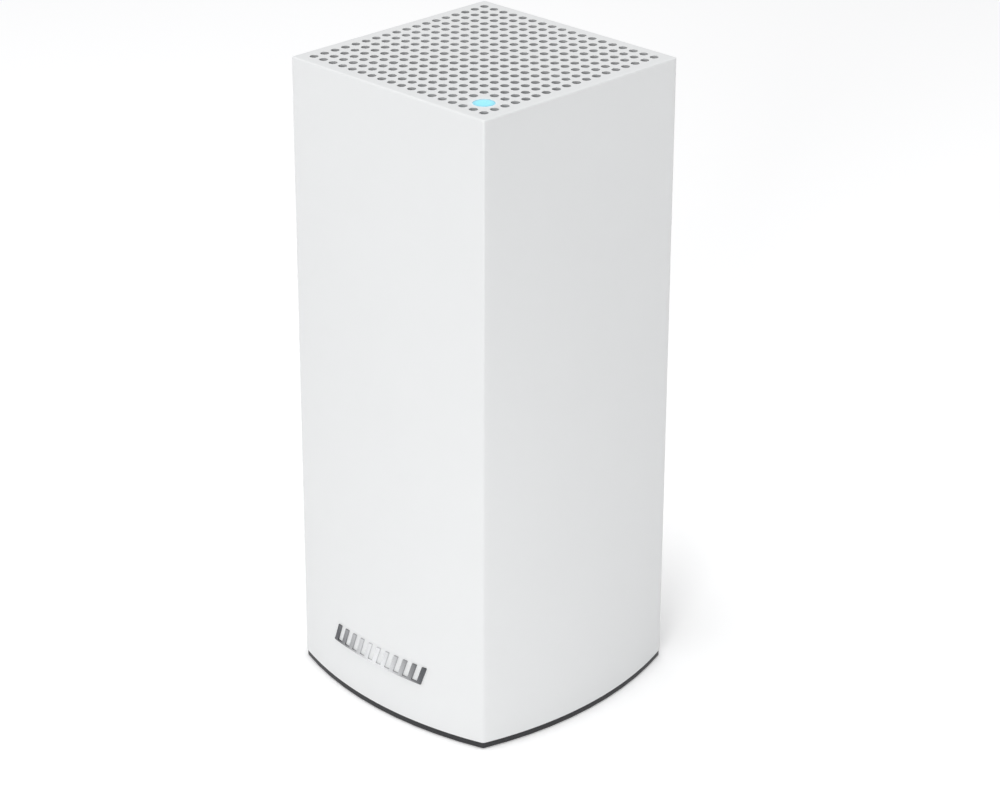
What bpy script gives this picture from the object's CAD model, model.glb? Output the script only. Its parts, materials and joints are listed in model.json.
import json
import math
import bmesh
import bpy
from mathutils import Euler, Matrix, Vector


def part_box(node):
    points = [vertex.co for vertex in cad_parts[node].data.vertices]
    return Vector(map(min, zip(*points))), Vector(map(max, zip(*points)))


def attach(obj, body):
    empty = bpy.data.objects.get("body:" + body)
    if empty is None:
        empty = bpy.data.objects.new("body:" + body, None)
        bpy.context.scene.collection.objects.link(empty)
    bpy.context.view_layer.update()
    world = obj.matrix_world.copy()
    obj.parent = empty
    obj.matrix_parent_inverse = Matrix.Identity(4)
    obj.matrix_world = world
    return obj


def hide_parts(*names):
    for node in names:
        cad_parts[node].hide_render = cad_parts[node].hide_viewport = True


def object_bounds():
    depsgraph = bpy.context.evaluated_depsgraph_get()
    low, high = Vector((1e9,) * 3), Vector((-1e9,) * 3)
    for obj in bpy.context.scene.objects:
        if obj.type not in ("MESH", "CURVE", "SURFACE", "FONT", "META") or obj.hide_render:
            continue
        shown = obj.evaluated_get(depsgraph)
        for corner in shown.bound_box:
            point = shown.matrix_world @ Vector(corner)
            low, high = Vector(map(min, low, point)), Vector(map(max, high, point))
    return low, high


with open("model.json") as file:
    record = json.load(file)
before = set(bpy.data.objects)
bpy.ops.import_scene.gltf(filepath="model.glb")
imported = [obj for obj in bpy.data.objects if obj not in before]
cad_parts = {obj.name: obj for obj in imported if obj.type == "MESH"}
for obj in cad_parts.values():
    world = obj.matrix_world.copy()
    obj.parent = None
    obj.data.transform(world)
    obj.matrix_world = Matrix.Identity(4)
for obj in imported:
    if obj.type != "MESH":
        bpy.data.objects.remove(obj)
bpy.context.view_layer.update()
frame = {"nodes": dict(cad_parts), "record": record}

mm = 0.001
low, high = [Vector(corner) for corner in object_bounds()]

# the body's outline: a square at the top, four outward arcs at the foot
body = {
    "topHalf": 48.3 * mm,
    "footHalf": 48.75 * mm,
    "footBulge": high.x - 48.75 * mm,
    "foot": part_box("outer_housing")[0][2],
    "top": high.z,
    "sideSteps": 30,
    "heightCuts": 26,
}

lensBox = [Vector(corner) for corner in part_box("light_lens")]
lightAt = (lensBox[0] + lensBox[1]) / 2

# camera, light and floor
view = {"azimuth": 44.692, "elevation": 25.086, "roll": 0.227, "lens": 99.6, "distance": 1.0387,
        "aim": (0.0017, 0.0069, 0.1081)}
studio = {
    "ambient": 0.395, "floorGlow": 0.21, "floorColour": 0.92, "floorSize": 12.0,
    "lamps": {
        "frontLamp": {"azimuth": 29, "elevation": 15, "distance": 3.2, "size": 0.8, "power": 29.5},
        "overheadLamp": {"azimuth": 0, "elevation": 85, "distance": 2.4, "size": 1.3, "power": 34.8},
    },
}


def turned(azimuth, elevation, roll=0.0):
    upright = Euler((math.radians(90 - elevation), 0, math.radians(azimuth))).to_matrix()
    return upright @ Matrix.Rotation(math.radians(roll), 3, "Z")


def placeCamera():
    facing = turned(view["azimuth"], view["elevation"], view["roll"])
    bpy.ops.object.camera_add()
    camera = bpy.context.object
    camera.name = "studioCamera"
    camera.location = Vector(view["aim"]) + facing @ Vector((0, 0, view["distance"]))
    camera.rotation_euler = facing.to_euler()
    camera.data.lens = view["lens"]
    camera.data.sensor_width = 36
    camera.data.clip_start = 0.01
    bpy.context.scene.camera = camera


def lightStudio():
    scene = bpy.context.scene
    scene.view_settings.view_transform = "Standard"
    world = bpy.data.worlds.new("studioWorld")
    scene.world = world
    world.use_nodes = True
    tree = world.node_tree
    background = tree.nodes["Background"]
    path = tree.nodes.new("ShaderNodeLightPath")
    strength = tree.nodes.new("ShaderNodeMapRange")
    strength.inputs["To Min"].default_value = studio["ambient"]
    strength.inputs["To Max"].default_value = 1.0
    tree.links.new(path.outputs["Is Camera Ray"], strength.inputs["Value"])
    tree.links.new(strength.outputs["Result"], background.inputs["Strength"])
    background.inputs["Color"].default_value = (0.98, 0.985, 1, 1)
    for name, values in studio["lamps"].items():
        facing = turned(values["azimuth"], values["elevation"])
        bpy.ops.object.light_add(type="AREA")
        lamp = bpy.context.object
        lamp.name = name
        lamp.location = Vector((0, 0, high.z / 2)) + facing @ Vector((0, 0, values["distance"]))
        lamp.rotation_euler = facing.to_euler()
        lamp.data.size = values["size"]
        lamp.data.energy = values["power"]


def layFloor(finish):
    bpy.ops.mesh.primitive_plane_add(size=studio["floorSize"], location=(0, 0, low.z - 0.0001))
    floor = bpy.context.object
    floor.name = "studioFloor"
    floor.data.materials.append(finish)


# shader helpers
class Wire:
    # an output socket whose sums and products add Math nodes
    def __init__(self, finish, socket):
        self.finish = finish
        self.socket = socket

    def maths(self, operation, first, second):
        return self.finish.node("Math", {"operation": operation}, {0: first, 1: second})

    def __add__(self, other):
        return self.maths("ADD", self, other)

    def __radd__(self, other):
        return self.maths("ADD", other, self)

    def __sub__(self, other):
        return self.maths("SUBTRACT", self, other)

    def __rsub__(self, other):
        return self.maths("SUBTRACT", other, self)

    def __mul__(self, other):
        return self.maths("MULTIPLY", self, other)

    def __rmul__(self, other):
        return self.maths("MULTIPLY", other, self)

    def __truediv__(self, other):
        return self.maths("DIVIDE", self, other)

    def __pow__(self, other):
        return self.maths("POWER", self, other)


socketNames = {
    "colour": "Base Color", "roughness": "Roughness", "metallic": "Metallic", "coat": "Coat Weight",
    "normal": "Normal", "ior": "IOR", "transmission": "Transmission Weight",
    "specular": "Specular IOR Level", "glow": "Emission Color", "glowStrength": "Emission Strength",
}


class Finish:
    def __init__(self, name):
        self.material = bpy.data.materials.new(name)
        self.material.use_nodes = True
        self.tree = self.material.node_tree
        self.shader = self.tree.nodes["Principled BSDF"]
        self.place = self.node("TexCoord", out="Object")

    def node(self, kind, settings=None, sockets=None, out=0):
        node = self.tree.nodes.new("ShaderNode" + kind)
        for key, value in (settings or {}).items():
            if key == "stops":
                ramp = node.color_ramp.elements
                while len(ramp) < len(value):
                    ramp.new(0.5)
                for stop, (position, colour) in zip(ramp, value):
                    stop.position = position
                    stop.color = (*colour, 1)
            else:
                setattr(node, key, value)
        for key, value in (sockets or {}).items():
            self.join(node.inputs[key], value)
        return Wire(self, node.outputs[out])

    def join(self, socket, value):
        if isinstance(value, Wire):
            self.tree.links.new(value.socket, socket)
        elif value is not None:
            socket.default_value = value

    def set(self, **values):
        for key, value in values.items():
            if isinstance(value, tuple) and len(value) == 3:
                value = (*value, 1)
            self.join(self.shader.inputs[socketNames[key]], value)
        return self

    def noise(self, scale, detail=2.0, rough=0.5, stretch=(1, 1, 1)):
        where = self.node("Mapping", None, {"Vector": self.place, "Scale": stretch})
        sockets = {"Vector": where, "Scale": scale, "Detail": detail, "Roughness": rough}
        return self.node("TexNoise", None, sockets)

    def blend(self, factor, first, second):
        first, second = [(*c, 1) if isinstance(c, tuple) else c for c in (first, second)]
        return self.node("Mix", {"data_type": "RGBA"}, {0: factor, 6: first, 7: second}, out=2)

    def grade(self, value, fromLow, fromHigh, toLow, toHigh):
        return self.node("MapRange", None, {0: value, 1: fromLow, 2: fromHigh, 3: toLow, 4: toHigh})

    def bump(self, height, depth, strength):
        return self.node("Bump", None, {"Height": height, "Distance": depth, "Strength": strength})


# finishes
whitePlasticLook = {"colour": (0.795, 0.803, 0.804), "grain": 2600, "grainDepth": 0.00001,
                    "roughness": (0.36, 0.46)}
haloLook = {"near": 3.6 * mm, "far": 6.4 * mm, "colour": (0.36, 0.72, 0.9), "strength": 0.16}


def whitePlastic(name, halo=False):
    look = whitePlasticLook
    finish = Finish(name)
    cloud = finish.noise(14, 3)
    grain = finish.noise(look["grain"], 2)
    shade = finish.grade(cloud, 0.3, 0.7, 0.0, 1.0)
    colour = finish.blend(shade, look["colour"], tuple(0.985 * c for c in look["colour"]))
    finish.set(colour=colour, roughness=finish.grade(grain, 0.3, 0.7, *look["roughness"]),
               normal=finish.bump(grain, look["grainDepth"], 0.6))
    if halo:
        split = finish.node("SeparateXYZ", None, {0: finish.place})
        x = split - lightAt.x
        y = Wire(finish, split.socket.node.outputs["Y"]) - lightAt.y
        away = (x * x + y * y) ** 0.5
        glow = finish.grade(away, haloLook["near"], haloLook["far"], 1.0, 0.0) ** 2.0
        finish.set(glow=finish.blend(glow, (0, 0, 0), haloLook["colour"]), glowStrength=haloLook["strength"])
    return finish.material


def floorFinish():
    finish = Finish("studioPaper")
    shade = finish.noise(3, 2)
    colour = finish.grade(shade, 0, 1, studio["floorColour"] * 0.998, studio["floorColour"])
    finish.set(colour=colour, roughness=0.9, specular=0.0, glow=(1, 1, 1), glowStrength=studio["floorGlow"])
    return finish.material


blackPlasticLook = {"colour": (0.022, 0.0225, 0.025), "grain": 1800, "depth": 0.000025,
                    "roughness": (0.42, 0.6)}
holeWallLook = {"colour": (0.6, 0.605, 0.61), "grain": 2600, "depth": 0.00001, "roughness": (0.5, 0.6)}
rubberLook = {"colour": (0.016, 0.016, 0.017), "grain": 900, "depth": 0.00004, "roughness": (0.75, 0.9)}
chipLook = {"colour": (0.018, 0.018, 0.02), "grain": 2400, "depth": 0.00001, "roughness": (0.45, 0.6)}
framePlasticLook = {"colour": (0.6, 0.605, 0.61), "grain": 1500, "depth": 0.00002, "roughness": (0.5, 0.62)}
ribbonLook = {"colour": (0.72, 0.7, 0.64), "grain": 700, "depth": 0.00001, "roughness": (0.35, 0.5)}
thermalPadLook = {"colour": (0.24, 0.27, 0.32), "grain": 1100, "depth": 0.00003, "roughness": (0.8, 0.95)}
tongueLook = {"colour": (0.02, 0.11, 0.46), "grain": 1800, "depth": 0.00001, "roughness": (0.35, 0.45)}
printLook = {"colour": (0.52, 0.53, 0.55), "grain": 1800, "depth": 0.000005, "roughness": (0.5, 0.6)}


def grainy(name, look):
    finish = Finish(name)
    cloud = finish.noise(30, 3)
    grain = finish.noise(look["grain"], 3)
    dark = tuple(0.86 * c for c in look["colour"])
    colour = finish.blend(finish.grade(cloud, 0.35, 0.65, 0, 1), dark, look["colour"])
    finish.set(colour=colour, roughness=finish.grade(grain, 0.3, 0.7, *look["roughness"]),
               normal=finish.bump(grain, look["depth"], 0.7))
    return finish.material


# brushed or plated metal: fine streaks along one axis
def streakyMetal(name, colour, roughness, stretch=(1, 1, 0.03), depth=0.000008):
    finish = Finish(name)
    streak = finish.noise(2600, 3, 0.6, stretch)
    cloud = finish.noise(60, 2)
    shade = finish.grade(cloud, 0.3, 0.7, 0, 1)
    dull = tuple(0.88 * c for c in colour)
    finish.set(colour=finish.blend(shade, dull, colour), metallic=1.0,
               roughness=finish.grade(streak, 0.3, 0.7, roughness - 0.07, roughness + 0.07),
               normal=finish.bump(streak, depth, 0.5))
    return finish.material


boardLook = {"mask": (0.012, 0.11, 0.055), "track": (0.03, 0.21, 0.1), "cell": 330, "depth": 0.00003}


# solder mask with the copper tracks showing through as a lighter, slightly raised pattern
def circuitBoard(name):
    look = boardLook
    finish = Finish(name)
    wire = finish.node("TexVoronoi", {"distance": "MANHATTAN", "feature": "F1"},
                       {"Vector": finish.place, "Scale": look["cell"], "Randomness": 0.75})
    edge = finish.node("TexVoronoi", {"distance": "MANHATTAN", "feature": "F2"},
                       {"Vector": finish.place, "Scale": look["cell"], "Randomness": 0.75})
    track = finish.grade(edge - wire, 0.06, 0.12, 1, 0)
    finish.set(colour=finish.blend(track, look["mask"], look["track"]),
               roughness=finish.grade(track, 0, 1, 0.36, 0.28),
               normal=finish.bump(track, look["depth"], 0.6), coat=0.3)
    return finish.material


emblemLook = {"half": 25 * mm, "ends": (0.11, 0.113, 0.12), "middle": (0.72, 0.725, 0.735), "roughness": 0.16}


# mirror-bright plate that reads dark at both ends and pale in the middle
def emblemChrome(name):
    look = emblemLook
    finish = Finish(name)
    split = finish.node("SeparateXYZ", None, {0: finish.place})
    along = (split * split) ** 0.5 / look["half"]
    shade = finish.grade(along, 0.12, 0.9, 0, 1)
    scuff = finish.noise(900, 2)
    finish.set(colour=finish.blend(shade, look["middle"], look["ends"]), metallic=1.0,
               roughness=finish.grade(scuff, 0.3, 0.7, look["roughness"] - 0.03, look["roughness"] + 0.03),
               normal=finish.bump(scuff, 0.000004, 0.3))
    return finish.material


lensLook = {"radius": 3.85 * mm, "colour": (0.02, 0.06, 0.08), "core": (0.31, 0.79, 0.89),
            "rim": (0.25, 0.58, 0.74), "strength": 1.0}


def lensGlow(name):
    look = lensLook
    finish = Finish(name)
    split = finish.node("SeparateXYZ", None, {0: finish.place})
    x = split - lightAt.x
    y = Wire(finish, split.socket.node.outputs["Y"]) - lightAt.y
    away = (x * x + y * y) ** 0.5 / look["radius"]
    mottle = finish.noise(500, 2)
    edge = finish.grade(away, 0.55, 1.05, 0, 1) ** 1.6
    finish.set(colour=look["colour"], roughness=finish.grade(mottle, 0.3, 0.7, 0.2, 0.3),
               glow=finish.blend(edge, look["core"], look["rim"]), glowStrength=look["strength"])
    return finish.material


def clearPlastic(name):
    finish = Finish(name)
    haze = finish.noise(300, 2)
    finish.set(colour=(0.86, 0.95, 0.98), roughness=finish.grade(haze, 0.3, 0.7, 0.05, 0.12),
               transmission=0.9, ior=1.49, normal=finish.bump(haze, 0.000005, 0.3))
    return finish.material


def smallLight(name, colour):
    finish = Finish(name)
    haze = finish.noise(800, 2)
    dim = tuple(0.8 * c for c in colour)
    finish.set(colour=finish.blend(haze, colour, dim), roughness=0.3, coat=0.4)
    return finish.material


# modelling helpers
def clearSelection():
    if bpy.context.object and bpy.context.object.mode != "OBJECT":
        bpy.ops.object.mode_set(mode="OBJECT")
    bpy.ops.object.select_all(action="DESELECT")


def choose(piece):
    clearSelection()
    piece.select_set(True)
    bpy.context.view_layer.objects.active = piece


def beginEdit(piece, kind="VERT"):
    choose(piece)
    bpy.ops.object.mode_set(mode="EDIT")
    bpy.ops.mesh.select_mode(type=kind)
    bpy.ops.mesh.select_all(action="DESELECT")


def pick(piece, kind, test):
    # in edit mode, selects the verts, edges or faces that pass the test and nothing else
    bpy.ops.mesh.select_all(action="DESELECT")
    mesh = bmesh.from_edit_mesh(piece.data)
    for element in getattr(mesh, kind):
        if test(element):
            element.select_set(True)
    bmesh.update_edit_mesh(piece.data)


def middleOf(element):
    return sum((v.co for v in element.verts), Vector()) / len(element.verts)


def finishMesh(piece, angle=35):
    choose(piece)
    bpy.ops.object.transform_apply(location=True, rotation=True, scale=True)
    bpy.ops.object.shade_smooth_by_angle(angle=math.radians(angle))


def useModifier(piece, kind, **settings):
    choose(piece)
    modifier = piece.modifiers.new(kind.lower(), kind)
    for key, value in settings.items():
        setattr(modifier, key, value)
    bpy.ops.object.modifier_apply(modifier=modifier.name)


def easeEdges(piece, width, angle):
    useModifier(piece, "BEVEL", width=width, segments=2, limit_method="ANGLE",
                angle_limit=math.radians(angle))


def carve(piece, *cutters):
    for cutter in cutters:
        useModifier(piece, "BOOLEAN", operation="DIFFERENCE", solver="EXACT", object=cutter)
        bpy.data.objects.remove(cutter, do_unlink=True)


def painted(piece, finish):
    piece.data.materials.clear()
    piece.data.materials.append(finish)
    return piece


def keep(piece, name, rides, node):
    piece.name = name
    piece.data.name = name
    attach(piece, rides)
    if node:
        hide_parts(node)


flattest = 0.03 * mm     # the least bulge, so that even a straight side has a centre to spin round
snap = 0.00002           # points closer than this are one point


# one closed outline of the body at height z: a single point is spun round each side's own centre in turn
def spinOutline(z, inset=0.0):
    along = min(1.0, (body["top"] - z) / (body["top"] - body["foot"]))
    half = body["topHalf"] + (body["footHalf"] - body["topHalf"]) * along
    bulge = max(body["footBulge"] * along, flattest)
    radius = (half * half + bulge * bulge) / (2 * bulge)
    centre = radius - bulge - half
    reach = radius - inset
    corner = (-centre + math.sqrt(2 * reach * reach - centre * centre)) / 2
    turn = 2 * math.atan2(corner, corner + centre)
    clearSelection()
    bpy.ops.mesh.primitive_plane_add(size=0.001, location=(-corner, -corner, z))
    outline = bpy.context.object
    bpy.ops.object.transform_apply(location=True, rotation=False, scale=False)
    bpy.ops.object.mode_set(mode="EDIT")
    bpy.ops.mesh.select_mode(type="VERT")
    bpy.ops.mesh.select_all(action="SELECT")
    bpy.ops.mesh.merge(type="CENTER")
    for side in range(4):
        out = math.radians(90 * side - 90)
        middle = (-math.cos(out) * centre, -math.sin(out) * centre, z)
        bpy.ops.mesh.spin(steps=body["sideSteps"], angle=-turn, center=middle, axis=(0, 0, 1))
    bpy.ops.mesh.select_all(action="SELECT")
    bpy.ops.mesh.remove_doubles(threshold=snap)
    bpy.ops.object.mode_set(mode="OBJECT")
    return outline


def joinPieces(pieces):
    clearSelection()
    for piece in pieces:
        piece.select_set(True)
    bpy.context.view_layer.objects.active = pieces[0]
    bpy.ops.object.join()
    return pieces[0]


def isCornerEdge(edge):
    a, b = [v.co for v in edge.verts]
    return abs(a.z - b.z) > 1e-4 and abs(abs(a.x) - abs(a.y)) < 1e-4 and abs(abs(b.x) - abs(b.y)) < 1e-4


def bowedWalls(z0, z1, inset, cornerRound, cuts):
    walls = joinPieces([spinOutline(z0, inset), spinOutline(z1, inset)])
    beginEdit(walls, "EDGE")
    bpy.ops.mesh.select_all(action="SELECT")
    bpy.ops.mesh.bridge_edge_loops(number_cuts=cuts, interpolation="LINEAR")
    pick(walls, "edges", isCornerEdge)
    bpy.ops.mesh.bevel(offset=cornerRound, segments=6, affect="EDGES", profile=0.5)
    return walls


housingBuild = {"corner": 0.9 * mm, "rim": 0.7 * mm, "lip": 0.1 * mm, "wall": 2.4 * mm, "edge": 0.3 * mm}
bay = {"half": 42.5 * mm, "top": 49 * mm, "corner": 5 * mm, "back": 38 * mm, "behind": 0.08}
grid = {"count": 18, "pitch": 5 * mm, "hole": 1.6 * mm, "sides": 16, "thick": 2.0 * mm,
        "lightHole": 3.95 * mm, "lightSides": 48, "lightPatch": 35 * mm}


def isAt(z):
    return lambda element: all(abs(v.co.z - z) < 1e-5 for v in element.verts)


def roundedSlab(name, x0, x1, y0, y1, z0, z1, radius, along="Y"):
    # a box whose four edges along one axis are rounded
    clearSelection()
    bpy.ops.mesh.primitive_cube_add(size=1, location=((x0 + x1) / 2, (y0 + y1) / 2, (z0 + z1) / 2),
                                    scale=(x1 - x0, y1 - y0, z1 - z0))
    slab = bpy.context.object
    slab.name = name
    bpy.ops.object.transform_apply(location=True, rotation=True, scale=True)
    if radius > 0:
        axis = "XYZ".index(along)
        beginEdit(slab, "EDGE")
        pick(slab, "edges", lambda e: abs((e.verts[0].co - e.verts[1].co)[axis]) > 1e-6)
        bpy.ops.mesh.bevel(offset=radius, segments=6, affect="EDGES")
        bpy.ops.object.mode_set(mode="OBJECT")
    return slab


def buildHousing():
    build = housingBuild
    shell = bowedWalls(body["foot"], body["top"], 0.0, build["corner"], body["heightCuts"])
    pick(shell, "edges", isAt(body["top"]))
    bpy.ops.mesh.edge_face_add()
    bpy.ops.mesh.select_all(action="SELECT")
    bpy.ops.mesh.normals_make_consistent(inside=False)
    pick(shell, "edges", isAt(body["top"]))
    bpy.ops.mesh.bevel(offset=build["rim"], segments=5, affect="EDGES")
    bpy.ops.mesh.select_mode(type="FACE")
    pick(shell, "faces", lambda f: len(f.verts) > 8 and f.normal.z > 0.9)
    bpy.ops.mesh.inset(thickness=build["lip"])
    bpy.ops.mesh.delete(type="ONLY_FACE")
    bpy.ops.object.mode_set(mode="OBJECT")
    return shell


def openingLoop(shell):
    # the edge of the opening in the top, copied out to become the border of the grille
    beginEdit(shell, "EDGE")
    mesh = bmesh.from_edit_mesh(shell.data)
    for edge in mesh.edges:
        if len(edge.link_faces) == 1 and all(v.co.z > body["top"] - 1e-5 for v in edge.verts):
            edge.select_set(True)
    bmesh.update_edit_mesh(shell.data)
    bpy.ops.mesh.duplicate()
    bpy.ops.mesh.separate(type="SELECTED")
    bpy.ops.object.mode_set(mode="OBJECT")
    return [o for o in bpy.context.selected_objects if o != shell][0]


def holeCell():
    # a square of the plate with one round hole, as a flat ring
    first = -(grid["count"] - 1) / 2 * grid["pitch"]
    clearSelection()
    bpy.ops.mesh.primitive_circle_add(vertices=grid["sides"], radius=grid["hole"],
                                      location=(first, first, body["top"]))
    cell = bpy.context.object
    bpy.ops.object.transform_apply(location=True, rotation=True, scale=True)
    bpy.ops.mesh.primitive_plane_add(size=grid["pitch"], location=(first, first, body["top"]))
    square = bpy.context.object
    bpy.ops.object.transform_apply(location=True, rotation=True, scale=True)
    beginEdit(square, "EDGE")
    bpy.ops.mesh.select_all(action="SELECT")
    bpy.ops.mesh.delete(type="ONLY_FACE")
    bpy.ops.mesh.select_all(action="SELECT")
    bpy.ops.mesh.subdivide(number_cuts=grid["sides"] // 4 - 1)
    bpy.ops.object.mode_set(mode="OBJECT")
    cell = joinPieces([cell, square])
    beginEdit(cell, "EDGE")
    bpy.ops.mesh.select_all(action="SELECT")
    bpy.ops.mesh.bridge_edge_loops()
    bpy.ops.object.mode_set(mode="OBJECT")
    return cell


def buildGrille(border):
    cell = holeCell()
    for offset in ((grid["pitch"], 0, 0), (0, grid["pitch"], 0)):
        useModifier(cell, "ARRAY", count=grid["count"], use_relative_offset=False, use_constant_offset=True,
                    constant_offset_displace=offset, use_merge_vertices=True, merge_threshold=snap)
    beginEdit(cell, "FACE")
    light = Vector((lightAt.x, lightAt.y))
    patch = Vector((grid["lightPatch"], -grid["lightPatch"]))
    onPatchFace = lambda f: max(map(abs, middleOf(f).xy - patch)) < grid["pitch"]
    pick(cell, "faces", onPatchFace)
    bpy.ops.mesh.delete(type="FACE")
    bpy.ops.object.mode_set(mode="OBJECT")
    clearSelection()
    bpy.ops.mesh.primitive_circle_add(vertices=grid["lightSides"], radius=grid["lightHole"],
                                      location=(light.x, light.y, body["top"]))
    ring = bpy.context.object
    bpy.ops.object.transform_apply(location=True, rotation=True, scale=True)
    plate = joinPieces([cell, ring, border])
    beginEdit(plate, "EDGE")
    half = grid["count"] / 2 * grid["pitch"]
    onLight = lambda v: abs((v.co.xy - light).length - grid["lightHole"]) < snap
    onPatch = lambda v: abs(max(abs(v.co.x - patch.x), abs(v.co.y - patch.y)) - grid["pitch"]) < snap
    onGrid = lambda v: abs(max(abs(v.co.x), abs(v.co.y)) - half) < snap
    onBorder = lambda v: max(abs(v.co.x), abs(v.co.y)) > half + 1e-4
    isOpen = lambda e: len(e.link_faces) < 2
    for inner, outer in ((onLight, onPatch), (onGrid, onBorder)):
        pick(plate, "edges", lambda e: isOpen(e) and (all(map(inner, e.verts)) or all(map(outer, e.verts))))
        bpy.ops.mesh.bridge_edge_loops()
    bpy.ops.mesh.select_all(action="SELECT")
    bpy.ops.mesh.remove_doubles(threshold=0.00001)
    bpy.ops.mesh.normals_make_consistent(inside=False)
    mesh = bmesh.from_edit_mesh(plate.data)
    if sum(f.normal.z for f in mesh.faces) < 0:
        bpy.ops.mesh.flip_normals()
    bpy.ops.object.mode_set(mode="OBJECT")
    useModifier(plate, "SOLIDIFY", thickness=grid["thick"], offset=-1)
    return plate


def roundedCopy(node, name, width, segments=2, angle=38):
    # a merged copy of a CAD node with its flat faces made whole and its edges rounded
    source = frame["nodes"][node]
    clearSelection()
    piece = source.copy()
    piece.data = source.data.copy()
    bpy.context.scene.collection.objects.link(piece)
    piece.parent = None
    piece.matrix_world = Matrix.Identity(4)
    piece.name = name
    beginEdit(piece)
    bpy.ops.mesh.select_all(action="SELECT")
    bpy.ops.mesh.remove_doubles(threshold=0.000002)
    bpy.ops.mesh.dissolve_limited(angle_limit=math.radians(0.4))
    bpy.ops.object.mode_set(mode="OBJECT")
    useModifier(piece, "BEVEL", width=width, segments=segments, limit_method="ANGLE",
                angle_limit=math.radians(angle), use_clamp_overlap=True)
    return piece


def roundBar(name, x, y, z, radius, length, axis="Y", sides=40, edge=0.0):
    # a round bar centred on a point, with both rims eased
    clearSelection()
    tilt = {"Y": (math.pi / 2, 0, 0), "Z": (0, 0, 0)}[axis]
    bpy.ops.mesh.primitive_cylinder_add(vertices=sides, radius=radius, depth=length,
                                        location=(x, y, z), rotation=tilt)
    bar = bpy.context.object
    bar.name = name
    bpy.ops.object.transform_apply(location=True, rotation=True, scale=True)
    if edge > 0:
        beginEdit(bar, "EDGE")
        pick(bar, "edges", lambda e: len(e.link_faces) == 2 and any(len(f.verts) > 4 for f in e.link_faces))
        bpy.ops.mesh.bevel(offset=edge, segments=3, affect="EDGES")
        bpy.ops.object.mode_set(mode="OBJECT")
    return bar


def easedSlab(name, x0, x1, y0, y1, z0, z1, edge):
    slab = roundedSlab(name, x0, x1, y0, y1, z0, z1, 0)
    useModifier(slab, "BEVEL", width=edge, segments=2)
    return slab


def ringPlate(name, x, y, z, radius, line, thick, axis="Y", sides=32):
    # a flat ring: a disc with its middle carved out
    ring = roundBar(name, x, y, z, radius, thick, axis, sides)
    carve(ring, roundBar("ringCutter", x, y, z, radius - line, thick * 3, axis, sides))
    return ring


# finishes, made once
looks = {}


def look(name):
    if name not in looks:
        makers = {
            "white": lambda: whitePlastic("whitePlastic"),
            "whiteTop": lambda: whitePlastic("whiteTopPlastic", halo=True),
            "holeWall": lambda: grainy("holeWallPlastic", holeWallLook),
            "black": lambda: grainy("blackPlastic", blackPlasticLook),
            "rubber": lambda: grainy("footRubber", rubberLook),
            "steel": lambda: streakyMetal("platedSteel", (0.6, 0.605, 0.62), 0.32),
            "screwSteel": lambda: streakyMetal("screwSteel", (0.42, 0.43, 0.45), 0.36, (1, 1, 1)),
            "aluminium": lambda: streakyMetal("extrudedAluminium", (0.74, 0.75, 0.77), 0.4),
            "gold": lambda: streakyMetal("contactGold", (0.9, 0.66, 0.24), 0.25, (1, 0.05, 1)),
            "board": lambda: circuitBoard("circuitBoard"),
            "chip": lambda: grainy("chipResin", chipLook),
            "thermal": lambda: grainy("thermalPad", thermalPadLook),
            "frame": lambda: grainy("framePlastic", framePlasticLook),
            "ribbon": lambda: grainy("ribbonCable", ribbonLook),
            "tongue": lambda: grainy("blueTongue", tongueLook),
            "print": lambda: grainy("greyPrint", printLook),
            "emblem": lambda: emblemChrome("emblemChrome"),
            "lens": lambda: lensGlow("lensGlow"),
            "clear": lambda: clearPlastic("clearPlastic"),
            "led": lambda: smallLight("ledChip", (0.85, 0.8, 0.5)),
            "linkGreen": lambda: smallLight("linkLightGreen", (0.25, 0.55, 0.28)),
            "linkAmber": lambda: smallLight("linkLightAmber", (0.6, 0.42, 0.16)),
        }
        looks[name] = makers[name]()
    return looks[name]


# base and foot
baseEdge = 0.2 * mm
padBuild = {"half": 38 * mm, "top": 1.7 * mm, "corner": 8 * mm, "edge": 0.2 * mm}
groove = {"in": 5 * mm, "wide": 1.4 * mm, "deep": 0.5 * mm}
resetWindow = {"x": -30 * mm, "y": 20 * mm, "radius": 3.0 * mm, "through": 20 * mm}


def buildFoot():
    half = padBuild["half"]
    pad = roundedSlab("rubberPad", -half, half, -half, half, 0, padBuild["top"], padBuild["corner"], "Z")
    beginEdit(pad, "FACE")
    pick(pad, "faces", lambda f: f.normal.z < -0.9)
    bpy.ops.mesh.inset(thickness=groove["in"])
    bpy.ops.mesh.inset(thickness=groove["wide"])
    outer = half - groove["in"]
    inner = outer - groove["wide"]
    reach = lambda f: max(abs(middleOf(f).x), abs(middleOf(f).y))
    pick(pad, "faces", lambda f: f.normal.z < -0.9 and inner < reach(f) < outer)
    bpy.ops.mesh.extrude_region_move(TRANSFORM_OT_translate={"value": (0, 0, groove["deep"])})
    bpy.ops.object.mode_set(mode="OBJECT")
    carve(pad, roundBar("resetWindow", resetWindow["x"], resetWindow["y"], 0, resetWindow["radius"],
                        resetWindow["through"], "Z"))
    easeEdges(pad, padBuild["edge"], 50)
    return pad


# emblem: leaning stripes on a thin line, laid on the bowed front
emblemBuild = {"z": 23 * mm, "long": 50 * mm, "tall": 7.5 * mm, "stripes": 11, "stripe": 2 * mm,
               "lean": 2.6 * mm, "line": 0.8 * mm, "proud": 0.5 * mm, "sunk": 0.15 * mm, "edge": 0.12 * mm}


def sideDepth(x, z):
    # how far the -Y side of the body stands out at x and height z
    along = (body["top"] - z) / (body["top"] - body["foot"])
    half = body["topHalf"] + (body["footHalf"] - body["topHalf"]) * along
    bulge = body["footBulge"] * along
    radius = (half * half + bulge * bulge) / (2 * bulge)
    return math.sqrt(radius * radius - x * x) - (radius - bulge - half)


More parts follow.
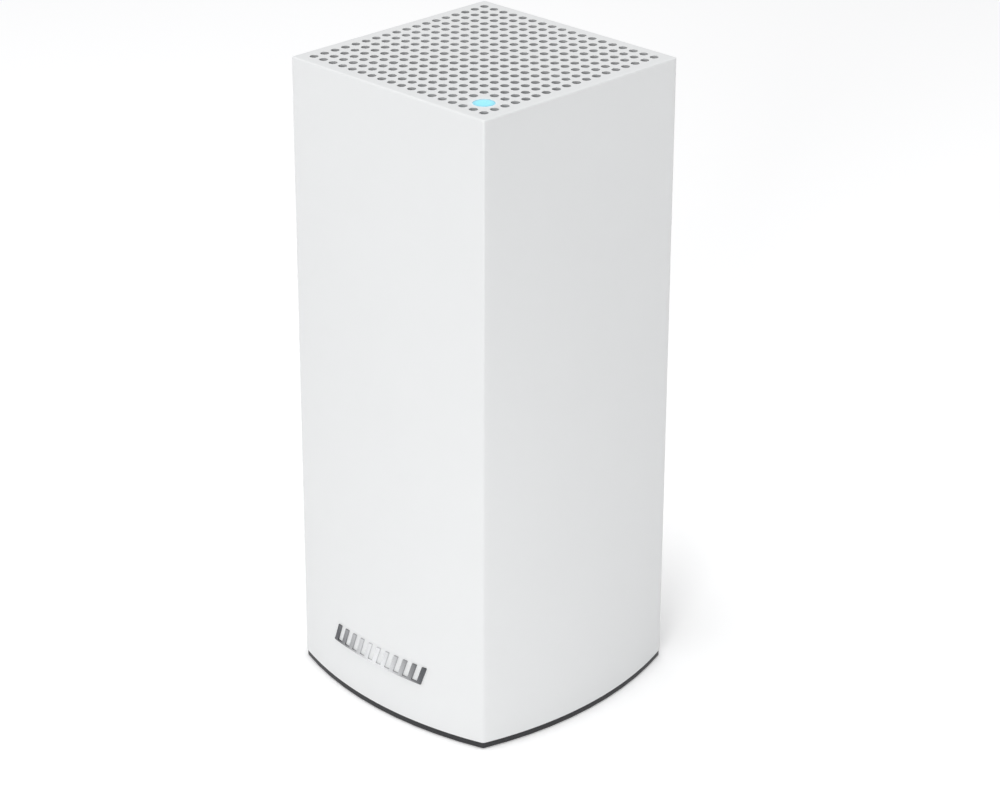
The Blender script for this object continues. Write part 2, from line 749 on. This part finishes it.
def buildEmblem():
    build = emblemBuild
    y0, y1 = -build["proud"], build["sunk"]
    z0, z1 = build["z"] - build["tall"] / 2, build["z"] + build["tall"] / 2
    halfLong = build["long"] / 2
    mark = roundedSlab("emblemLine", -halfLong, halfLong - build["lean"], y0, y1,
                       z0, z0 + build["line"], 0)
    pitch = (build["long"] - build["stripe"] - build["lean"]) / (build["stripes"] - 1)
    for i in range(build["stripes"]):
        x = -halfLong + i * pitch
        stripe = roundedSlab("emblemStripe", x, x + build["stripe"], y0, y1, z0, z1, 0)
        for vertex in stripe.data.vertices:
            vertex.co.x += build["lean"] * (vertex.co.z - z0) / build["tall"]
        useModifier(mark, "BOOLEAN", operation="UNION", solver="EXACT", object=stripe)
        bpy.data.objects.remove(stripe, do_unlink=True)
    easeEdges(mark, build["edge"], 40)
    for vertex in mark.data.vertices:
        vertex.co.y -= sideDepth(vertex.co.x, vertex.co.z)
    return mark


lensBuild = {"radius": 3.85 * mm, "tall": 2.0 * mm, "flange": 4.85 * mm, "flangeTop": 2.3 * mm,
             "flangeTall": 1.0 * mm, "edge": 0.15 * mm, "sides": 64}


def buildLens():
    build = lensBuild
    lensZ = body["top"] - build["tall"] / 2
    flangeZ = body["top"] - build["flangeTop"] - build["flangeTall"] / 2
    lens = roundBar("lightLens", lightAt.x, lightAt.y, lensZ, build["radius"], build["tall"], "Z",
                    build["sides"], build["edge"])
    flange = roundBar("lensFlange", lightAt.x, lightAt.y, flangeZ, build["flange"], build["flangeTall"], "Z",
                      build["sides"], build["edge"])
    return joinPieces([lens, flange])


# one network socket: heights are above its lowest edge, depths behind its front
jack = {
    "pitch": 16 * mm, "wide": 15.4 * mm, "deep": 21 * mm, "tall": 13.4 * mm, "low": 12.9 * mm,
    "front": 35.7 * mm, "ahead": 1 * mm, "edge": 0.3 * mm, "corner": 0.3 * mm,
    "wall": 0.9 * mm, "roof": 0.8 * mm, "windowDeep": 14 * mm,
    "linerDeep": 13.9 * mm, "linerBack": 0.25 * mm, "linerEdge": 0.18 * mm,
    "mouthHalf": 5.9 * mm, "mouthLow": 2.0 * mm, "mouthHigh": 9.2 * mm, "mouthDeep": 12.5 * mm,
    "latchHalf": 3.1 * mm, "latchHigh": 11.6 * mm, "latchLap": 0.5 * mm, "latchDeep": 9 * mm,
}
jackContacts = {
    "count": 8, "pitch": 1.02 * mm, "half": 0.22 * mm, "start": 1.6 * mm, "end": 12.4 * mm,
    "low": 0.2 * mm, "high": 0.5 * mm, "rise": 2.6 * mm, "run": 10.8 * mm, "edge": 0.08 * mm,
}
linkLights = {
    "x": 5.0 * mm, "half": 1.3 * mm, "deep": 2 * mm, "proud": 0.12 * mm, "low": 10.0 * mm,
    "high": 11.8 * mm, "edge": 0.15 * mm, "tints": ((-1, "linkGreen"), (1, "linkAmber")),
}


def buildJack():
    # the middle socket, at x 0; the others are copies of it
    j = jack
    half = j["wide"] / 2
    front = j["front"]
    ahead = front + j["ahead"]
    z0, z1 = j["low"], j["low"] + j["tall"]
    shell = easedSlab("jackShell", -half, half, front - j["deep"], front, z0, z1, j["edge"])
    painted(shell, look("steel"))
    window = half - j["wall"]
    sill, lintel = z0 + j["wall"], z1 - j["roof"]
    carve(shell, roundedSlab("jackWindow", -window, window, front - j["windowDeep"], ahead,
                             sill, lintel, j["corner"]))
    face = front - j["linerBack"]
    liner = roundedSlab("jackLiner", -window, window, front - j["linerDeep"], face, sill, lintel, j["corner"])
    painted(liner, look("chip"))
    mouth = roundedSlab("jackMouth", -j["mouthHalf"], j["mouthHalf"], front - j["mouthDeep"], ahead,
                        z0 + j["mouthLow"], z0 + j["mouthHigh"], j["corner"])
    latch = roundedSlab("jackLatch", -j["latchHalf"], j["latchHalf"], front - j["latchDeep"], ahead,
                        z0 + j["mouthHigh"] - j["latchLap"], z0 + j["latchHigh"], j["corner"])
    carve(liner, mouth, latch)
    easeEdges(liner, j["linerEdge"], 50)
    pieces = [shell, liner]
    c = jackContacts
    start = front - c["start"]
    bed = z0 + j["mouthLow"]
    for i in range(c["count"]):
        x = (i - (c["count"] - 1) / 2) * c["pitch"]
        contact = easedSlab("contact", x - c["half"], x + c["half"], front - c["end"], start,
                            bed + c["low"], bed + c["high"], c["edge"])
        for vertex in contact.data.vertices:
            back = (start - vertex.co.y) / c["run"]
            vertex.co.z += c["rise"] * back
        pieces.append(painted(contact, look("gold")))
    lit = linkLights
    for side, tint in lit["tints"]:
        x = side * lit["x"]
        light = easedSlab("linkLight", x - lit["half"], x + lit["half"], face - lit["deep"],
                          face + lit["proud"], z0 + lit["low"], z0 + lit["high"], lit["edge"])
        pieces.append(painted(light, look(tint)))
    whole = joinPieces(pieces)
    finishMesh(whole, 30)
    return whole


def shiftedCopy(source, name, dx):
    piece = source.copy()
    piece.data = source.data.copy()
    piece.data.transform(Matrix.Translation((dx, 0, 0)))
    bpy.context.scene.collection.objects.link(piece)
    piece.name = name
    piece.data.name = name
    return piece


usb = {
    "x": 9 * mm, "low": 30.9 * mm, "front": 37.6 * mm, "half": 7 * mm, "tall": 6.9 * mm, "deep": 15 * mm,
    "corner": 0.6 * mm, "wall": 0.5 * mm, "roof": 0.55 * mm, "mouthDeep": 11 * mm, "ahead": 1 * mm,
    "mouthCorner": 0.3 * mm, "edge": 0.14 * mm,
}
usbTongue = {"in": 1.5 * mm, "back": 11.5 * mm, "front": 1.2 * mm, "low": 3.4 * mm, "high": 5.3 * mm,
             "edge": 0.15 * mm}
usbContacts = {"count": 4, "pitch": 2.4 * mm, "half": 0.5 * mm, "back": 10 * mm, "front": 2.4 * mm,
               "low": 3.28 * mm, "high": 3.5 * mm, "edge": 0.05 * mm}


def buildUsb():
    u = usb
    front = u["front"]
    x0, x1 = u["x"] - u["half"], u["x"] + u["half"]
    z0, z1 = u["low"], u["low"] + u["tall"]
    shell = roundedSlab("usbShell", x0, x1, front - u["deep"], front, z0, z1, u["corner"])
    painted(shell, look("steel"))
    carve(shell, roundedSlab("usbMouth", x0 + u["wall"], x1 - u["wall"], front - u["mouthDeep"],
                             front + u["ahead"], z0 + u["roof"], z1 - u["roof"], u["mouthCorner"]))
    easeEdges(shell, u["edge"], 50)
    t = usbTongue
    tongue = easedSlab("usbTongue", x0 + t["in"], x1 - t["in"], front - t["back"], front - t["front"],
                       z0 + t["low"], z0 + t["high"], t["edge"])
    pieces = [shell, painted(tongue, look("tongue"))]
    c = usbContacts
    for i in range(c["count"]):
        x = u["x"] + (i - (c["count"] - 1) / 2) * c["pitch"]
        contact = easedSlab("usbContact", x - c["half"], x + c["half"], front - c["back"],
                            front - c["front"], z0 + c["low"], z0 + c["high"], c["edge"])
        pieces.append(painted(contact, look("gold")))
    whole = joinPieces(pieces)
    finishMesh(whole, 30)
    return whole


dc = {
    "x": -11 * mm, "z": 37 * mm, "front": 35.7 * mm, "mouth": 37.8 * mm, "low": 30.9 * mm,
    "half": 4.6 * mm, "deep": 13 * mm, "tall": 11 * mm, "edge": 0.3 * mm, "sides": 48,
    "barrel": 3.9 * mm, "barrelLap": 1 * mm, "barrelEdge": 0.25 * mm,
    "bore": 2.95 * mm, "boreLong": 23 * mm,
    "sleeve": 2.94 * mm, "sleeveWall": 0.18 * mm, "sleeveIn": 6 * mm, "sleeveLong": 10 * mm,
    "pin": 1.05 * mm, "pinIn": 6.4 * mm, "pinLong": 10 * mm, "pinEdge": 0.35 * mm, "pinSides": 24,
}


def buildDcJack():
    d = dc
    x, z, front, mouth = d["x"], d["z"], d["front"], d["mouth"]
    block = easedSlab("dcBody", x - d["half"], x + d["half"], front - d["deep"], front,
                      d["low"], d["low"] + d["tall"], d["edge"])
    painted(block, look("black"))
    barrel = roundBar("dcBarrel", x, (front + mouth) / 2 - d["barrelLap"] / 2, z, d["barrel"],
                      mouth - front + d["barrelLap"], "Y", d["sides"], d["barrelEdge"])
    painted(barrel, look("black"))
    for part in (block, barrel):
        carve(part, roundBar("dcBore", x, mouth, z, d["bore"], d["boreLong"], "Y", d["sides"]))
    sleeve = ringPlate("dcSleeve", x, mouth - d["sleeveIn"], z, d["sleeve"], d["sleeveWall"],
                       d["sleeveLong"], "Y", d["sides"])
    painted(sleeve, look("steel"))
    pin = roundBar("dcPin", x, mouth - d["pinIn"], z, d["pin"], d["pinLong"], "Y", d["pinSides"],
                   d["pinEdge"])
    painted(pin, look("gold"))
    whole = joinPieces([block, barrel, sleeve, pin])
    finishMesh(whole, 30)
    return whole


rocker = {
    "x": -30 * mm, "y": 36.5 * mm, "z": 37 * mm, "rest": -10, "tip": 4.3 * mm, "valley": 3.2 * mm,
    "half": 5.5 * mm, "edge": 0.3 * mm, "markAt": 3.0 * mm,
    "barHalf": 0.28 * mm, "barTall": 1.2 * mm, "barProud": 0.06 * mm, "barEdge": 0.03 * mm,
    "ring": 1.25 * mm, "ringLine": 0.45 * mm, "ringThick": 0.12 * mm,
}


def buildRocker():
    # the paddle with an on bar above and an off ring below, each laid on its own slope
    r = rocker
    paddle = painted(roundedCopy("power_rocker", "powerRockerPaddle", r["edge"], 3), look("black"))
    slope = math.atan2(r["tip"] - r["valley"], r["half"])
    out = r["valley"] + r["markAt"] * math.tan(slope)
    tilt = Matrix.Translation((r["x"], r["y"], r["z"])) @ Matrix.Rotation(math.radians(r["rest"]), 4, "X")
    offRing = ringPlate("offMark", 0, 0, 0, r["ring"], r["ringLine"], r["ringThick"])
    onBar = easedSlab("onMark", -r["barHalf"], r["barHalf"], -r["barProud"], r["barProud"],
                      -r["barTall"], r["barTall"], r["barEdge"])
    marks = []
    for side, mark in ((-1, offRing), (1, onBar)):
        lean = Matrix.Rotation(-side * slope, 4, "X")
        mark.data.transform(Matrix.Translation((0, out, side * r["markAt"])) @ lean)
        mark.data.transform(tilt)
        marks.append(painted(mark, look("print")))
    whole = joinPieces([paddle, *marks])
    finishMesh(whole, 30)
    return whole


pairing = {
    "x": 30 * mm, "z": 37 * mm, "radius": 3.5 * mm, "face": 39.6 * mm, "back": 34.5 * mm, "edge": 0.45 * mm,
    "sides": 48, "rim": 0.5 * mm, "step": 0.35 * mm, "dish": 0.25 * mm,
    "crown": 1.2 * mm, "dimple": 0.12 * mm,
    "flange": 4.7 * mm, "flangeFront": 35.7 * mm, "flangeThick": 1.4 * mm, "flangeEdge": 0.2 * mm,
    "stem": 1.5 * mm, "stemFront": 35 * mm, "stemTail": 30 * mm, "stemSides": 24, "stemEdge": 0.2 * mm,
    "markIn": 0.35 * mm, "mark": 1.1 * mm, "markLine": 0.3 * mm, "markThick": 0.12 * mm,
}


def buildPairingButton():
    b = pairing
    x, z, face = b["x"], b["z"], b["face"]
    cap = roundBar("pairingCap", x, (face + b["back"]) / 2, z, b["radius"], face - b["back"],
                   "Y", b["sides"], b["edge"])
    beginEdit(cap, "FACE")
    pick(cap, "faces", lambda f: len(f.verts) > 8 and f.normal.y > 0.9)
    bpy.ops.mesh.inset(thickness=b["rim"])
    for thickness, sink in ((b["step"], b["dish"]), (b["crown"], b["dimple"])):
        bpy.ops.mesh.inset(thickness=thickness)
        bpy.ops.transform.translate(value=(0, -sink, 0))
    bpy.ops.object.mode_set(mode="OBJECT")
    flange = roundBar("pairingFlange", x, b["flangeFront"] - b["flangeThick"] / 2, z, b["flange"],
                      b["flangeThick"], "Y", b["sides"], b["flangeEdge"])
    stem = roundBar("pairingStem", x, (b["stemTail"] + b["stemFront"]) / 2, z, b["stem"],
                    b["stemFront"] - b["stemTail"], "Y", b["stemSides"], b["stemEdge"])
    parts = [painted(part, look("black")) for part in (cap, flange, stem)]
    mark = ringPlate("pairingMark", x, face - b["markIn"], z, b["mark"], b["markLine"], b["markThick"])
    whole = joinPieces([*parts, painted(mark, look("print"))])
    finishMesh(whole, 30)
    return whole


panelPrint = {"y": 38 * mm, "proud": 0.06 * mm, "row": 28.2 * mm, "size": 2.8 * mm}


def printNumber(text, x, z):
    # a plain digit beside a socket, read from behind the router
    clearSelection()
    bpy.ops.object.text_add()
    digit = bpy.context.object
    digit.data.body = text
    digit.data.size = panelPrint["size"]
    digit.data.align_x = "CENTER"
    digit.data.align_y = "CENTER"
    digit.data.extrude = panelPrint["proud"]
    digit.data.resolution_u = 3
    bpy.ops.object.convert(target="MESH")
    beginEdit(digit)
    bpy.ops.mesh.select_all(action="SELECT")
    bpy.ops.mesh.remove_doubles(threshold=0.000001)
    bpy.ops.object.mode_set(mode="OBJECT")
    facing = Matrix.Rotation(math.pi, 4, "Z") @ Matrix.Rotation(math.pi / 2, 4, "X")
    digit.data.transform(Matrix.Translation((x, panelPrint["y"], z)) @ facing)
    return painted(digit, look("print"))


print("stage: camera and studio")
clearSelection()
placeCamera()
lightStudio()
layFloor(floorFinish())

print("stage: housing and grille")
shell = buildHousing()
border = openingLoop(shell)
grille = buildGrille(border)
useModifier(shell, "SOLIDIFY", thickness=housingBuild["wall"], offset=-1, use_even_offset=True)
carve(shell, roundedSlab("bayCutter", -bay["half"], bay["half"], bay["back"], bay["behind"],
                         -bay["top"], bay["top"], bay["corner"]))
easeEdges(shell, housingBuild["edge"], 55)
finishMesh(shell)
finishMesh(grille, 30)
keep(painted(shell, look("white")), "housingShell", "router_body", "outer_housing")
keep(painted(grille, look("whiteTop")), "topGrillePlate", "router_body", "top_grille")
grille.data.materials.append(look("holeWall"))
gridHalf = grid["count"] / 2 * grid["pitch"]
for face in grille.data.polygons:
    if abs(face.normal.z) < 0.5 and max(abs(face.center.x), abs(face.center.y)) < gridHalf:
        face.material_index = 1

print("stage: base, foot, emblem and light")
base = roundedCopy("base_plate", "blackBase", baseEdge)
finishMesh(base, 35)
keep(painted(base, look("black")), "blackBase", "router_body", "base_plate")
foot = buildFoot()
finishMesh(foot, 35)
keep(painted(foot, look("rubber")), "footPad", "router_body", "rubber_foot")
emblem = buildEmblem()
finishMesh(emblem, 30)
keep(painted(emblem, look("emblem")), "frontEmblem", "router_body", "emblem")
lens = buildLens()
finishMesh(lens, 35)
keep(painted(lens, look("lens")), "statusLens", "router_body", "light_lens")

print("stage: socket bay")
bayLiner = painted(roundedCopy("port_bay", "socketBayLiner", 0.25 * mm), look("black"))
finishMesh(bayLiner, 35)
keep(bayLiner, "socketBayLiner", "router_body", "port_bay")
middleJack = buildJack()
for place, node in enumerate(["wan_jack", "lan_jack_1", "lan_jack_2", "lan_jack_3", "lan_jack_4"]):
    copy = shiftedCopy(middleJack, node + "Socket", (place - 2) * jack["pitch"])
    keep(copy, node.replace("_jack", "Socket").replace("_", ""), "router_body", node)
bpy.data.objects.remove(middleJack, do_unlink=True)
keep(buildUsb(), "usbSocket", "router_body", "usb_port")
keep(buildDcJack(), "powerInlet", "router_body", "dc_jack")
switchBody = painted(roundedCopy("power_switch_housing", "switchBezel", 0.25 * mm), look("black"))
finishMesh(switchBody, 35)
keep(switchBody, "switchBezel", "router_body", "power_switch_housing")
keep(buildRocker(), "switchRocker", "power_rocker", "power_rocker")
keep(buildPairingButton(), "pairingButton", "wps_button", "wps_button")
resetPin = painted(roundedCopy("reset_button", "resetPin", 0.2 * mm), look("black"))
finishMesh(resetPin, 35)
keep(resetPin, "resetPin", "reset_button", "reset_button")
digits = [printNumber(str(n), (n - 2) * jack["pitch"], panelPrint["row"]) for n in range(1, 5)]
numbers = joinPieces(digits)
finishMesh(numbers, 30)
keep(numbers, "socketNumbers", "router_body", None)

print("stage: finishes of the inner pieces")
bySlot = {
    "white_plastic": "white", "black_plastic": "black", "rubber": "rubber", "steel": "steel",
    "aluminium": "aluminium", "board": "board", "chip": "chip", "thermal_pad": "thermal",
    "emblem": "emblem", "lens": "lens", "clear": "clear", "led": "led", "frame_plastic": "frame",
    "ribbon": "ribbon",
}
for part in frame["record"]["subparts"]:
    node = frame["nodes"][part["node"]]
    finish = look("screwSteel" if "screw" in part["node"] else bySlot[part["material_slot"]])
    for materialSlot in node.material_slots:
        materialSlot.material = finish
